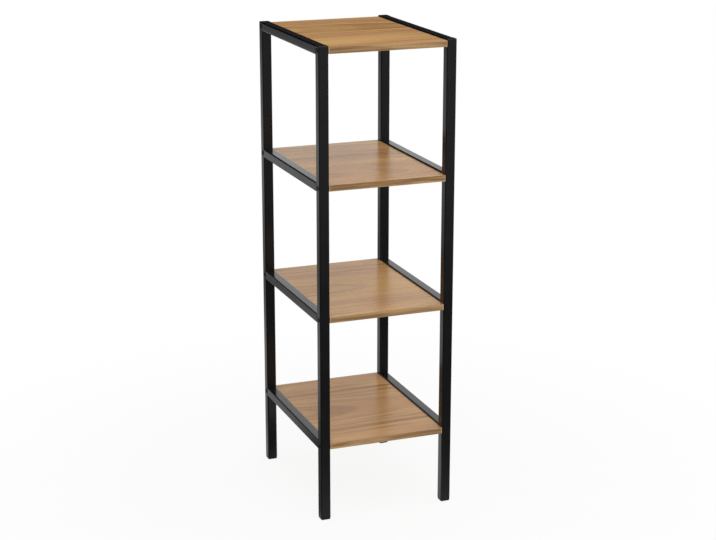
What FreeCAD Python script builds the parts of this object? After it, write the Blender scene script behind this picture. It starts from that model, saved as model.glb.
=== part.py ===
"""Narrow four-tier shelving unit: two welded tube side frames joined by four bolted boards.

Frame of the model: origin on the floor under the middle of the unit, +X to the right,
+Y to the back, +Z up, millimetres. The unit mirrors about the planes X = 0 and Y = 0.
"""
import FreeCAD, Part
import math
import os

import Sketcher
from FreeCAD import Vector

SHELVES = ("bottom", "middle", "upper", "top")
SIDES = {"left": -1, "right": 1}
ENDS = {"front": -1, "rear": 1}

# Driving dimensions: alias, value in millimetres, what it measures.
SIZES = (
    ("unit_width", 277.0, "width across the outer faces of both side frames"),
    ("unit_depth", 356.0, "depth over the front and rear posts"),
    ("leg_height", 145.0, "floor to the underside of the bottom rails"),
    ("shelf_pitch", 259.0, "height from one shelf to the next"),
    ("tube_width", 20.0, "width of posts and rails across the unit"),
    ("post_depth", 20.0, "depth of the posts' square tube from front to back"),
    ("rail_height", 18.0, "height of the rails' tube"),
    ("tube_wall", 1.0, "wall of both tubes"),
    ("tube_corner", 3.0, "outer corner radius of both tubes"),
    ("board_thickness", 12.0, "thickness of a shelf board"),
    ("edge_band", 0.5, "thickness of the edging strip glued on a board"),
    ("bolt_diameter", 5.0, "shank of a shelf bolt"),
    ("bolt_length", 35.0, "shank length under the head"),
    ("bolt_head_diameter", 9.5, "button head diameter"),
    ("bolt_head_height", 1.3, "low button head height"),
    ("bolt_head_rim", 0.4, "straight rim below the dome of the head"),
    ("bolt_socket", 3.0, "width across the flats of the hexagon socket"),
    ("bolt_socket_depth", 1.0, "depth of the hexagon socket"),
    ("bolt_play", 0.25, "gap round the shank in the post's holes"),
    ("thread_play", 0.05, "gap between the shank and the insert's bore"),
    ("insert_diameter", 7.5, "outside of the threaded insert"),
    ("insert_length", 13.0, "length of the threaded insert"),
    ("insert_play", 0.1, "gap round the insert in its bore"),
    ("bore_run_out", 3.0, "free depth in the board past the bolt's tip"),
    ("foot_height", 4.0, "sole of a foot plug below the post"),
    ("foot_inset", 0.5, "how far the sole stands back from the post's faces"),
    ("foot_bevel", 1.0, "bevel round the bottom of the sole"),
    ("plug_length", 14.0, "part of a foot plug inside the post"),
    ("plug_play", 0.6, "gap between the plug and the post's inside"),
    ("plug_wall", 1.5, "wall of the hollow plug"),
    ("rib_play", 0.1, "gap between the plug's ribs and the post's inside"),
    ("rib_height", 1.0, "height of one rib"),
    ("rib_pitch", 3.5, "spacing of the ribs"),
    ("cap_thickness", 1.5, "plate that closes the top of a post"),
    ("cap_edge", 0.6, "rounding of the plate's upper edge"),
    ("weld_leg", 2.5, "leg of a fillet weld"),
)
RIB_COUNT = 3

# Lengths and places that follow from the driving dimensions.
FRAME_X = "(Sizes.unit_width - Sizes.tube_width) / 2"
POST_Y = "(Sizes.unit_depth - Sizes.post_depth) / 2"
RAIL_LENGTH = "Sizes.unit_depth - 2 * Sizes.post_depth"
BOARD_LENGTH = "Sizes.unit_width - 2 * Sizes.tube_width"
BOARD_DEPTH = "Sizes.unit_depth - 2 * Sizes.edge_band"
BOTTOM_RAIL_Z = "(Sizes.leg_height + Sizes.rail_height / 2)"
SHELF_STEPS = len(SHELVES) - 1
UNIT_TOP = f"Sizes.leg_height + {SHELF_STEPS} * Sizes.shelf_pitch + Sizes.rail_height"
POST_TOP = f"({UNIT_TOP} - Sizes.cap_thickness)"
CORNER_INSIDE = "Sizes.tube_corner - Sizes.tube_wall"
BOLT_HOLE = "Sizes.bolt_diameter + 2 * Sizes.bolt_play"
INSERT_HOLE = "Sizes.insert_diameter + 2 * Sizes.insert_play"
BORE_DEPTH = "Sizes.bolt_length - Sizes.tube_width + Sizes.bore_run_out"

doc = FreeCAD.newDocument("ShelvingUnit")
sheet = doc.addObject("Spreadsheet::Sheet", "Sizes")
for row, (alias, value, meaning) in enumerate(SIZES, start=1):
    sheet.set(f"A{row}", meaning)
    sheet.set(f"B{row}", str(value))
    sheet.setAlias(f"B{row}", alias)
doc.recompute()

sub_parts = []


def level(shelf):
    """Height of a shelf's rails and bolts, at the middle of the rail."""
    return f"{BOTTOM_RAIL_Z} + {SHELVES.index(shelf)} * Sizes.shelf_pitch"


def new_body(name, x="0", y="0", z="0"):
    """Starts a sub-part with its own label and a placement that follows the sheet."""
    body = doc.addObject("PartDesign::Body", name)
    body.Label = name
    for axis, expression in zip("xyz", (x, y, z)):
        body.setExpression(f"Placement.Base.{axis}", f"({expression}) * 1 mm")
    sub_parts.append(body)
    return body


def origin_feature(body, role):
    """One of the body's own origin planes or axes."""
    return next(item for item in body.Origin.OriginFeatures if item.Role == role)


def new_sketch(body, name, plane, offset="0"):
    """A sketch on one of the body's origin planes, moved along the plane's normal."""
    sketch = body.newObject("Sketcher::SketchObject", f"{body.Name}_{name}")
    sketch.AttachmentSupport = [(origin_feature(body, plane), "")]
    sketch.MapMode = "FlatFace"
    sketch.setExpression("AttachmentOffset.Base.z", f"({offset}) * 1 mm")
    return sketch


def dimension(sketch, name, expression, kind, *where):
    """Adds one named dimension and binds it to the sheet."""
    index = sketch.addConstraint(Sketcher.Constraint(kind, *where, sketch.evalExpression(expression)))
    sketch.renameConstraint(index, name)
    sketch.setExpression(f"Constraints.{name}", expression)


def rectangle(sketch, name, width, height):
    """A rectangle centred on the sketch's origin."""
    half_x = sketch.evalExpression(f"({width}) / 2")
    half_y = sketch.evalExpression(f"({height}) / 2")
    corners = [Vector(x * half_x, y * half_y, 0) for x, y in ((-1, -1), (1, -1), (1, 1), (-1, 1))]
    first = sketch.GeometryCount
    for number, corner in enumerate(corners):
        sketch.addGeometry(Part.LineSegment(corner, corners[(number + 1) % 4]), False)
    for number in range(4):
        sketch.addConstraint(
            Sketcher.Constraint("Coincident", first + number, 2, first + (number + 1) % 4, 1))
        sketch.addConstraint(
            Sketcher.Constraint("Vertical" if number % 2 else "Horizontal", first + number))
    sketch.addConstraint(Sketcher.Constraint("Symmetric", first, 1, first + 2, 1, -1, 1))
    dimension(sketch, f"{name}_width", width, "DistanceX", first, 1, first, 2)
    dimension(sketch, f"{name}_height", height, "DistanceY", first + 1, 1, first + 1, 2)


def rounded_rectangle(sketch, name, width, height, radius):
    """A rectangle with rounded corners, centred on the sketch's origin."""
    half_x = sketch.evalExpression(f"({width}) / 2")
    half_y = sketch.evalExpression(f"({height}) / 2")
    corner = sketch.evalExpression(radius)
    flat_x = half_x - corner
    flat_y = half_y - corner
    up = Vector(0, 0, 1)
    quarter = math.radians(90)
    outline = (
        (Vector(-flat_x, -half_y, 0), Vector(flat_x, -half_y, 0), Vector(flat_x, -flat_y, 0)),
        (Vector(half_x, -flat_y, 0), Vector(half_x, flat_y, 0), Vector(flat_x, flat_y, 0)),
        (Vector(flat_x, half_y, 0), Vector(-flat_x, half_y, 0), Vector(-flat_x, flat_y, 0)),
        (Vector(-half_x, flat_y, 0), Vector(-half_x, -flat_y, 0), Vector(-flat_x, -flat_y, 0)),
    )
    first = sketch.GeometryCount
    for turn, (start, end, centre) in enumerate(outline):
        begin = (turn - 1) * quarter
        sketch.addGeometry(Part.LineSegment(start, end), False)
        sketch.addGeometry(Part.ArcOfCircle(Part.Circle(centre, up, corner), begin, begin + quarter), False)
    for number in range(8):
        sketch.addConstraint(
            Sketcher.Constraint("Tangent", first + number, 2, first + (number + 1) % 8, 1))
    for number in range(4):
        direction = "Vertical" if number % 2 else "Horizontal"
        sketch.addConstraint(Sketcher.Constraint(direction, first + 2 * number))
    for number in (3, 5, 7):
        sketch.addConstraint(Sketcher.Constraint("Equal", first + 1, first + number))
    sketch.addConstraint(Sketcher.Constraint("Symmetric", first + 3, 3, first + 7, 3, -1, 1))
    dimension(sketch, f"{name}_width", width, "DistanceX", first + 6, 1, first + 2, 1)
    dimension(sketch, f"{name}_height", height, "DistanceY", first, 1, first + 4, 1)
    dimension(sketch, f"{name}_radius", radius, "Radius", first + 1)


def polygon(sketch, name, points):
    """A closed outline through points, each given by the expressions of its two coordinates."""
    places = [Vector(*(sketch.evalExpression(value) for value in point), 0) for point in points]
    first = sketch.GeometryCount
    count = len(places)
    for number, place in enumerate(places):
        sketch.addGeometry(Part.LineSegment(place, places[(number + 1) % count]), False)
    for number, (across, along) in enumerate(points):
        sketch.addConstraint(
            Sketcher.Constraint("Coincident", first + (number - 1) % count, 2, first + number, 1))
        dimension(sketch, f"{name}_x{number}", across, "DistanceX", -1, 1, first + number, 1)
        dimension(sketch, f"{name}_y{number}", along, "DistanceY", -1, 1, first + number, 1)


def circle(sketch, name, across, along, diameter):
    """A circle whose centre is given by the expressions of its two coordinates."""
    place = Vector(sketch.evalExpression(across), sketch.evalExpression(along), 0)
    radius = sketch.evalExpression(diameter) / 2
    index = sketch.addGeometry(Part.Circle(place, Vector(0, 0, 1), radius), False)
    dimension(sketch, f"{name}_x", across, "DistanceX", -1, 1, index, 3)
    dimension(sketch, f"{name}_y", along, "DistanceY", -1, 1, index, 3)
    dimension(sketch, f"{name}_diameter", diameter, "Diameter", index)


def pad(body, sketch, length, symmetric=False):
    """Extrudes a sketch along its normal, or to both sides of it."""
    feature = body.newObject("PartDesign::Pad", f"{sketch.Name}_pad")
    feature.Profile = sketch
    feature.SideType = "Symmetric" if symmetric else "One side"
    feature.setExpression("Length", f"({length}) * 1 mm")
    return feature


def pocket(body, sketch, depth=None):
    """Cuts a sketch to a depth against its normal, or right through to both sides."""
    feature = body.newObject("PartDesign::Pocket", f"{sketch.Name}_cut")
    feature.Profile = sketch
    if depth is None:
        feature.SideType = "Symmetric"
        feature.Type = "ThroughAll"
    else:
        feature.setExpression("Length", f"({depth}) * 1 mm")
    return feature


def linear_pattern(body, name, spacing, count):
    """A row of copies upwards."""
    feature = body.newObject("PartDesign::LinearPattern", f"{body.Name}_{name}")
    feature.Direction = (origin_feature(body, "Z_Axis"), [""])
    feature.Mode = "Spacing"
    feature.setExpression("Offset", f"({spacing}) * 1 mm")
    feature.Occurrences = count
    return feature


def mirrored(body, name, plane):
    """A mirror image about one of the body's origin planes."""
    feature = body.newObject("PartDesign::Mirrored", f"{body.Name}_{name}")
    feature.MirrorPlane = (origin_feature(body, plane), [""])
    return feature


def repeat(body, name, features, steps):
    """Copies features by one or more mirror or pattern steps and makes that the body's tip."""
    if len(steps) == 1:
        steps[0].Originals = features
        body.Tip = steps[0]
        return
    several = body.newObject("PartDesign::MultiTransform", f"{body.Name}_{name}")
    several.Originals = features
    several.Transformations = steps
    body.Tip = several


def tube_section(sketch, other_side):
    """The hollow section of a tube as wide as the side frame, with its other side given."""
    rounded_rectangle(sketch, "outer", "Sizes.tube_width", other_side, "Sizes.tube_corner")
    rounded_rectangle(
        sketch, "inner", "Sizes.tube_width - 2 * Sizes.tube_wall",
        f"{other_side} - 2 * Sizes.tube_wall", CORNER_INSIDE)


def make_post(side, end):
    """Upright tube from the foot plug to the top plate, with a through hole for each shelf's bolt."""
    body = new_body(
        f"{side}_{end}_post", f"{SIDES[side]} * {FRAME_X}", f"{ENDS[end]} * {POST_Y}", "Sizes.foot_height")
    section = new_sketch(body, "section", "XY_Plane")
    tube_section(section, "Sizes.post_depth")
    pad(body, section, f"{POST_TOP} - Sizes.foot_height")
    holes = new_sketch(body, "bolt_hole", "YZ_Plane")
    circle(holes, "bolt_hole", "0", f"{BOTTOM_RAIL_Z} - Sizes.foot_height", BOLT_HOLE)
    cut = pocket(body, holes)
    repeat(body, "holes", [cut], [linear_pattern(body, "hole_row", "Sizes.shelf_pitch", len(SHELVES))])


def make_rail(side, shelf):
    """Tube from front to back, welded between the posts and level with a shelf."""
    body = new_body(f"{side}_{shelf}_rail", f"{SIDES[side]} * {FRAME_X}", "0", level(shelf))
    section = new_sketch(body, "section", "XZ_Plane")
    tube_section(section, "Sizes.rail_height")
    pad(body, section, RAIL_LENGTH, symmetric=True)


def make_top_plate(side, end):
    """Plate welded on the open top of a post, level with the top rail, its upper edge rounded."""
    body = new_body(
        f"{side}_{end}_top_plate", f"{SIDES[side]} * {FRAME_X}", f"{ENDS[end]} * {POST_Y}", POST_TOP)
    outline = new_sketch(body, "outline", "XY_Plane")
    rounded_rectangle(outline, "plate", "Sizes.tube_width", "Sizes.post_depth", "Sizes.tube_corner")
    plate = pad(body, outline, "Sizes.cap_thickness")
    doc.recompute()
    rounding = body.newObject("PartDesign::Fillet", f"{body.Name}_edge")
    rounding.Base = (plate, edges_at(plate.Shape, plate.Shape.BoundBox.ZMax))
    rounding.setExpression("Radius", "Sizes.cap_edge * 1 mm")


def edges_at(shape, height):
    """Names of the edges that lie flat at a height."""
    return [
        f"Edge{number}" for number, edge in enumerate(shape.Edges, start=1)
        if abs(edge.BoundBox.ZMin - height) < 1e-6 and abs(edge.BoundBox.ZMax - height) < 1e-6]


def make_foot(side, end):
    """Plastic plug in the bottom of a post: a bevelled sole, and a hollow ribbed plug above it."""
    body = new_body(f"{side}_{end}_foot", f"{SIDES[side]} * {FRAME_X}", f"{ENDS[end]} * {POST_Y}")
    outline = new_sketch(body, "sole", "XY_Plane")
    rounded_rectangle(
        outline, "sole", "Sizes.tube_width - 2 * Sizes.foot_inset",
        "Sizes.post_depth - 2 * Sizes.foot_inset", "Sizes.tube_corner - Sizes.foot_inset")
    sole = pad(body, outline, "Sizes.foot_height")
    doc.recompute()
    bevel = body.newObject("PartDesign::Chamfer", f"{body.Name}_bevel")
    bevel.Base = (sole, edges_at(sole.Shape, 0))
    bevel.setExpression("Size", "Sizes.foot_bevel * 1 mm")
    inside = "Sizes.tube_wall + Sizes.plug_play"
    shaft = new_sketch(body, "shaft", "XY_Plane", "Sizes.foot_height")
    rounded_rectangle(
        shaft, "shaft", f"Sizes.tube_width - 2 * ({inside})", f"Sizes.post_depth - 2 * ({inside})",
        f"{CORNER_INSIDE} - Sizes.plug_play")
    pad(body, shaft, "Sizes.plug_length")
    inside = "Sizes.tube_wall + Sizes.rib_play"
    rib_sketch = new_sketch(body, "rib", "XY_Plane", "Sizes.foot_height + Sizes.rib_pitch")
    rounded_rectangle(
        rib_sketch, "rib", f"Sizes.tube_width - 2 * ({inside})", f"Sizes.post_depth - 2 * ({inside})",
        f"{CORNER_INSIDE} - Sizes.rib_play")
    rib = pad(body, rib_sketch, "Sizes.rib_height")
    repeat(body, "ribs", [rib], [linear_pattern(body, "rib_row", "Sizes.rib_pitch", RIB_COUNT)])
    inside = "Sizes.tube_wall + Sizes.plug_play + Sizes.plug_wall"
    hollow = new_sketch(body, "hollow", "XY_Plane", "Sizes.foot_height + Sizes.plug_length")
    rectangle(hollow, "hollow", f"Sizes.tube_width - 2 * ({inside})", f"Sizes.post_depth - 2 * ({inside})")
    body.Tip = pocket(body, hollow, "Sizes.plug_length")


def make_board(shelf):
    """Shelf board between the posts, with a stepped bore in each end for every bolt and its insert."""
    body = new_body(f"{shelf}_shelf_board", "0", "0", level(shelf))
    outline = new_sketch(body, "outline", "XY_Plane")
    rectangle(outline, "board", BOARD_LENGTH, BOARD_DEPTH)
    pad(body, outline, "Sizes.board_thickness", symmetric=True)
    end = f"({BOARD_LENGTH}) / 2"
    seat = new_sketch(body, "insert_bore", "YZ_Plane", end)
    circle(seat, "insert_bore", POST_Y, "0", INSERT_HOLE)
    seat_cut = pocket(body, seat, "Sizes.insert_length")
    tip = new_sketch(body, "tip_bore", "YZ_Plane", end)
    circle(tip, "tip_bore", POST_Y, "0", BOLT_HOLE)
    tip_cut = pocket(body, tip, BORE_DEPTH)
    repeat(body, "bores", [seat_cut, tip_cut], four_corners(body))


def four_corners(body):
    """The two mirror steps that carry one corner's feature to all four."""
    return [mirrored(body, "to_front", "XZ_Plane"), mirrored(body, "to_left", "YZ_Plane")]


def make_edge_band(shelf, end):
    """Edging strip glued along a board's front or rear edge."""
    place = f"{ENDS[end]} * Sizes.unit_depth / 2"
    if end == "front":
        place += " + Sizes.edge_band"
    body = new_body(f"{shelf}_shelf_{end}_edge", "0", place, level(shelf))
    outline = new_sketch(body, "outline", "XZ_Plane")
    rectangle(outline, "band", BOARD_LENGTH, "Sizes.board_thickness")
    pad(body, outline, "Sizes.edge_band")


def revolve(body, sketch):
    """Turns a profile about the sketch's horizontal axis."""
    feature = body.newObject("PartDesign::Revolution", f"{sketch.Name}_turn")
    feature.Profile = sketch
    feature.ReferenceAxis = (sketch, ["H_Axis"])
    feature.Angle = 360
    return feature


def make_bolts(shelf):
    """The four button-head bolts that hold one board, heads on the frames' outer faces."""
    body = new_body(f"{shelf}_shelf_bolts", "0", "0", level(shelf))
    face = "Sizes.unit_width / 2"
    profile = new_sketch(body, "profile", "XZ_Plane", f"-1 * {POST_Y}")
    top_radius = "Sizes.bolt_head_diameter / 4 + Sizes.bolt_socket / 4"
    polygon(profile, "bolt", (
        (f"{face} - Sizes.bolt_length", "0"),
        (f"{face} - Sizes.bolt_length", "Sizes.bolt_diameter / 2"),
        (face, "Sizes.bolt_diameter / 2"),
        (face, "Sizes.bolt_head_diameter / 2"),
        (f"{face} + Sizes.bolt_head_rim", "Sizes.bolt_head_diameter / 2"),
        (f"{face} + Sizes.bolt_head_height", top_radius),
        (f"{face} + Sizes.bolt_head_height", "0"),
    ))
    turned = revolve(body, profile)
    socket = new_sketch(body, "socket", "YZ_Plane", f"{face} + Sizes.bolt_head_height")
    reach = "Sizes.bolt_socket / sqrt(3)"
    polygon(socket, "socket", [
        (f"{POST_Y} + {reach} * cos({turn} deg)", f"{reach} * sin({turn} deg)") for turn in range(0, 360, 60)])
    socket_cut = pocket(body, socket, "Sizes.bolt_socket_depth")
    repeat(body, "set", [turned, socket_cut], four_corners(body))


def make_inserts(shelf):
    """The four threaded inserts in one board's ends."""
    body = new_body(f"{shelf}_shelf_inserts", "0", "0", level(shelf))
    end = f"({BOARD_LENGTH}) / 2"
    bore = "Sizes.bolt_diameter / 2 + Sizes.thread_play"
    profile = new_sketch(body, "profile", "XZ_Plane", f"-1 * {POST_Y}")
    polygon(profile, "insert", (
        (f"{end} - Sizes.insert_length", bore),
        (end, bore),
        (end, "Sizes.insert_diameter / 2"),
        (f"{end} - Sizes.insert_length", "Sizes.insert_diameter / 2"),
    ))
    repeat(body, "set", [revolve(body, profile)], four_corners(body))


def make_welds(side):
    """Fillet welds across the rails' ends, one under each end of every rail."""
    body = new_body(f"{side}_frame_welds", f"{SIDES[side]} * {FRAME_X}", "0", "Sizes.leg_height")
    post_face = f"({RAIL_LENGTH}) / 2"
    section = new_sketch(body, "bead", "YZ_Plane")
    polygon(section, "bead", (
        (post_face, "0"),
        (f"{post_face} - Sizes.weld_leg", "0"),
        (post_face, "-1 * Sizes.weld_leg"),
    ))
    bead = pad(body, section, "Sizes.tube_width - 2 * Sizes.tube_corner", symmetric=True)
    steps = [mirrored(body, "to_front", "XZ_Plane"),
             linear_pattern(body, "row", "Sizes.shelf_pitch", len(SHELVES))]
    repeat(body, "set", [bead], steps)


def export(body, folder):
    """Writes a sub-part's solids to a file named after it."""
    shape = body.Shape
    if shape.isNull() or not shape.isValid() or not shape.Solids:
        raise RuntimeError(f"{body.Label} has no valid solid")
    shape.exportStep(os.path.join(folder, f"{body.Label}.step"))
    print(f"{body.Label:28s} solids {len(shape.Solids):2d}  volume {shape.Volume:12.1f} mm3")


for side_name in SIDES:
    for end_name in ENDS:
        make_post(side_name, end_name)
        make_top_plate(side_name, end_name)
        make_foot(side_name, end_name)
    for shelf_name in SHELVES:
        make_rail(side_name, shelf_name)
    make_welds(side_name)
for shelf_name in SHELVES:
    make_board(shelf_name)
    for end_name in ENDS:
        make_edge_band(shelf_name, end_name)
    make_bolts(shelf_name)
    make_inserts(shelf_name)

doc.recompute()
failed = [item.Label for item in doc.Objects if {"Invalid", "Error"} & set(item.State)]
if failed:
    raise RuntimeError(f"these objects did not compute: {failed}")
os.makedirs("parts", exist_ok=True)
for sub_part in sub_parts:
    export(sub_part, "parts")
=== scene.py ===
"""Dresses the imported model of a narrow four-tier shelving unit in its finished shapes and materials.

Two welded ladder frames of black coated tube stand on plastic feet. Four oak laminate boards are bolted
between their posts. Lengths are in metres: +X is the unit's right, +Y its rear and +Z up.
"""

import math

import bmesh
import bpy
from bmesh.types import BMEdge, BMFace, BMVert
from bpy.props import FloatProperty, FloatVectorProperty, IntProperty, PointerProperty
from mathutils import Matrix, Vector


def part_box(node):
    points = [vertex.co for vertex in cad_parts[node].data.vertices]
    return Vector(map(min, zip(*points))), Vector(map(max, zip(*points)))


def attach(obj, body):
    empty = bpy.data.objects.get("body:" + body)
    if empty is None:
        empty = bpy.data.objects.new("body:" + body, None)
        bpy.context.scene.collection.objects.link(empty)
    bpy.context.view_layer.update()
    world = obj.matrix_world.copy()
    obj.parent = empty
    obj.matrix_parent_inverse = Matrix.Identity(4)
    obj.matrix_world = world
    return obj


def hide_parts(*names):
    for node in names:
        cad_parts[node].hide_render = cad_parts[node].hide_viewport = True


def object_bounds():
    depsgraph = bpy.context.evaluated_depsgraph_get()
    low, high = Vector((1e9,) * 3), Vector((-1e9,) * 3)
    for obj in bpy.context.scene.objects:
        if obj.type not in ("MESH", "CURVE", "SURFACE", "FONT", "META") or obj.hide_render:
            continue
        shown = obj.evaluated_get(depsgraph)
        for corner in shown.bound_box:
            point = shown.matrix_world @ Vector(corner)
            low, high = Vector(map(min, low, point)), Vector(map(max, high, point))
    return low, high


bl_info = {
    "name": "Tube Frame Shelving Unit",
    "version": (1, 0, 0),
    "blender": (4, 5, 0),
    "location": "View3D > Sidebar > Shelving",
    "description": "Builds the finished pieces of a four-tier shelving unit round its packed frame",
    "category": "Add Mesh",
}

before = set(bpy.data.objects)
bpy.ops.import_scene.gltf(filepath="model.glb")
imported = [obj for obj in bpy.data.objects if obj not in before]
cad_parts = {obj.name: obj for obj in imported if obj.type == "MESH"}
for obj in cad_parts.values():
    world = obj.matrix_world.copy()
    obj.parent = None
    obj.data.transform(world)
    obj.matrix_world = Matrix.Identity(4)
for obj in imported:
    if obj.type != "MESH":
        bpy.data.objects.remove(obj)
CAD_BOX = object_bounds()

SIDES = {"left": -1, "right": 1}
ENDS = {"front": -1, "rear": 1}
CORNERS = [(side, end) for side in SIDES for end in ENDS]
SHELVES = ("bottom", "middle", "upper", "top")
BODY = "root"

CORNER_STEPS = 6
EDGE_STEPS = 3
HOLE_SIDES = 24
TURNED_STEPS = 32
MERGE_DISTANCE = 1e-6
SHARP_ANGLE = math.radians(40)


# ---------------------------------------------------------------- settings


def number(name, description, default, **more):
    """A number that a user would change."""
    return FloatProperty(name=name, description=description, default=default, **more)


def length(name, description, default):
    """A size in metres."""
    return number(name, description, default, unit="LENGTH", precision=5)


def share(name, description, default):
    """A value from 0 to 1."""
    return number(name, description, default, min=0, max=1, subtype="FACTOR")


def linear(level):
    """The linear value of an 8-bit screen level."""
    level = level / 255
    return level / 12.92 if level <= 0.04045 else ((level + 0.055) / 1.055) ** 2.4


def colour(name, description, red, green, blue):
    """A colour, given by its 8-bit screen levels."""
    default = (linear(red), linear(green), linear(blue))
    return FloatVectorProperty(
        name=name, description=description, default=default, min=0, max=1, subtype="COLOR")


class FrameSettings(bpy.types.PropertyGroup):
    """The welded steel frames and their coating."""

    corner_radius: length("Corner Radius", "Outer rounding of the tube's long edges", 0.003)
    wall: length("Wall", "Thickness of the tube's wall", 0.001)
    cut_edge: length("Cut Edge", "Rounding that the coating gives a sawn end", 0.0004)
    plate_edge: length("Plate Edge", "Rounding of a top plate's upper edge", 0.0013)
    bolt_hole: length("Bolt Hole", "Diameter of the bolt holes through the posts", 0.0055)
    weld_leg: length("Weld Leg", "Width of a weld bead on each wall", 0.0025)
    weld_pitch: length("Weld Pitch", "Distance from one ripple of a bead to the next", 0.0014)
    weld_ripple: share("Weld Ripple", "Height of the ripples as a share of the bead", 0.07)
    coat: colour("Coat", "Black powder coat", 18, 18, 20)
    coat_roughness: share("Coat Roughness", "Roughness of the powder coat", 0.2)
    coat_specular: share("Coat Specular", "Specular level of the powder coat", 0.32)


class BoardSettings(bpy.types.PropertyGroup):
    """The laminate boards and their edging."""

    eased_edge: length("Eased Edge", "Rounding of the board's own edges", 0.00025)
    strip_edge: length("Strip Edge", "Rounding of the edging's outer edges", 0.0004)
    bore: length("Bore", "Diameter of the bores for the threaded inserts", 0.0076)
    bore_depth: length("Bore Depth", "Depth of those bores", 0.016)
    oak_pale: colour("Pale Oak", "Early wood between the growth rings", 219, 175, 111)
    oak_tan: colour("Tan Oak", "Main colour of the oak", 207, 162, 108)
    oak_deep: colour("Deep Oak", "Late wood in the growth rings", 157, 112, 67)
    oak_rose: colour("Rose Oak", "Warm bands across the boards", 192, 138, 98)
    pore: colour("Pore", "Pores and fine dark fibres", 132, 89, 52)
    print_place: number("Print Place", "Where on the printed roll the boards are cut", 207.102)
    print_step: number("Print Step", "How far the print moves on in each metre of height", 21)
    strip_tan: colour("Edging Tan", "Main colour of the edging", 203, 165, 117)
    strip_deep: colour("Edging Deep", "Darker streaks of the edging", 118, 85, 54)
    # The edging turns paler within a short width of each of its cut ends.
    strip_core: colour("Edging Core", "Cut ends of the edging, where its pale core shows", 212, 188, 152)
    core_width: length("Core Width", "How far in from its cut end the edging shows its core", 0.0016)
    laminate_roughness: share("Laminate Roughness", "Roughness of the laminate", 0.27)
    laminate_specular: share("Laminate Specular", "Specular level of the laminate", 0.17)


class FixingSettings(bpy.types.PropertyGroup):
    """The bolts, threaded inserts and feet."""

    bolt_diameter: length("Bolt Diameter", "Thread diameter of the bolts", 0.005)
    bolt_length: length("Bolt Length", "Length of a bolt below its head", 0.035)
    thread_pitch: length("Thread Pitch", "Distance between the bolts' threads", 0.0008)
    thread_length: length("Thread Length", "Threaded length of a bolt", 0.022)
    head_diameter: length("Head Diameter", "Diameter of a bolt's button head", 0.0095)
    head_height: length("Head Height", "Height of a bolt's low button head", 0.0013)
    head_rim: length("Head Rim", "Height of the head's straight rim", 0.0004)
    socket: length("Socket", "Hexagon socket, across its flats", 0.003)
    socket_depth: length("Socket Depth", "Depth of the hexagon socket", 0.001)
    insert_diameter: length("Insert Diameter", "Outer diameter of a threaded insert", 0.0075)
    insert_length: length("Insert Length", "Length of a threaded insert", 0.013)
    insert_pitch: length("Insert Pitch", "Distance between an insert's coarse outer threads", 0.0025)
    plug_play: length("Plug Play", "Gap between a foot's plug and the tube, on each side", 0.0006)
    plug_wall: length("Plug Wall", "Wall of a foot's plug", 0.0015)
    rib_play: length("Rib Play", "Gap between a plug's rib and the tube, on each side", 0.0001)
    rib_height: length("Rib Height", "Height of a plug's rib along the tube", 0.001)
    rib_pitch: length("Rib Pitch", "Distance from one rib to the next", 0.0035)
    rib_count: IntProperty(name="Ribs", description="Number of ribs round a plug", default=3, min=0)
    foot_height: length("Foot Height", "Height of a foot below the tube", 0.004)
    foot_corner: length("Foot Corner", "Rounding of a foot's upright edges", 0.0025)
    foot_bevel: length("Foot Bevel", "Rounding of a foot's lower edge", 0.001)
    foot_lip: length("Foot Lip", "Rounding of a foot's upper edge", 0.0005)
    oxide: colour("Bolt Black", "Blackened steel of the bolts", 46, 46, 48)
    zinc: colour("Zinc", "Zinc plate of the inserts", 206, 202, 186)
    plastic: colour("Foot Black", "Moulded plastic of the feet", 15, 15, 16)


class StageSettings(bpy.types.PropertyGroup):
    """The floor, the lamps and the camera."""

    azimuth: number(
        "Azimuth", "Camera's turn round the unit from the front", math.radians(-20.94), subtype="ANGLE")
    elevation: number(
        "Elevation", "Camera's height above the horizon", math.radians(16.16), subtype="ANGLE")
    distance: length("Distance", "Camera's distance from the point it looks at", 3.481)
    target: FloatVectorProperty(name="Target", description="The point that the camera looks at",
                                default=(0.006, -0.002, 0.453), subtype="TRANSLATION")
    lens: number("Lens", "Focal length in millimetres", 86.5)
    floor: colour("Floor", "Pale studio floor", 244, 244, 244)
    floor_radius: length("Floor Radius", "Radius of the floor", 30.0)
    key_power: number("Key Power", "Watts of the front lamp", 9)
    overhead_power: number("Overhead Power", "Watts of the overhead lamp", 18)
    ambient: number("Ambient", "Level of the room's own light", 0.64)


# ---------------------------------------------------------------- shader maths


class Socket:
    """An output of a node, on which shader maths is written as a Python expression."""

    def __init__(self, tree, output):
        self.tree = tree
        self.output = output

    def beside(self, name):
        """Another output of the same node."""
        return Socket(self.tree, self.output.node.outputs[name])

    def maths(self, operation, *values):
        """A Math node on these values."""
        return self.tree.add("ShaderNodeMath", {"operation": operation}, dict(enumerate(values)))

    def __add__(self, other):
        return self.maths("ADD", self, other)

    def __sub__(self, other):
        return self.maths("SUBTRACT", self, other)

    def __rsub__(self, other):
        return self.maths("SUBTRACT", other, self)

    def __mul__(self, other):
        return self.maths("MULTIPLY", self, other)

    __radd__ = __add__
    __rmul__ = __mul__

    def fraction(self):
        """What is left above the whole number."""
        return self.maths("FRACT", self)

    def root(self):
        """The square root."""
        return self.maths("SQRT", self)

    def unsigned(self):
        """The value without its sign."""
        return self.maths("ABSOLUTE", self)

    def largest(self, other):
        """The larger of the two values at each point."""
        return self.maths("MAXIMUM", self, other)

    def smooth(self, start, end):
        """Rises smoothly from 0 at start to 1 at end."""
        sockets = {"Value": self, "From Min": start, "From Max": end}
        return self.tree.add("ShaderNodeMapRange", {"interpolation_type": "SMOOTHSTEP"}, sockets)


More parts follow.
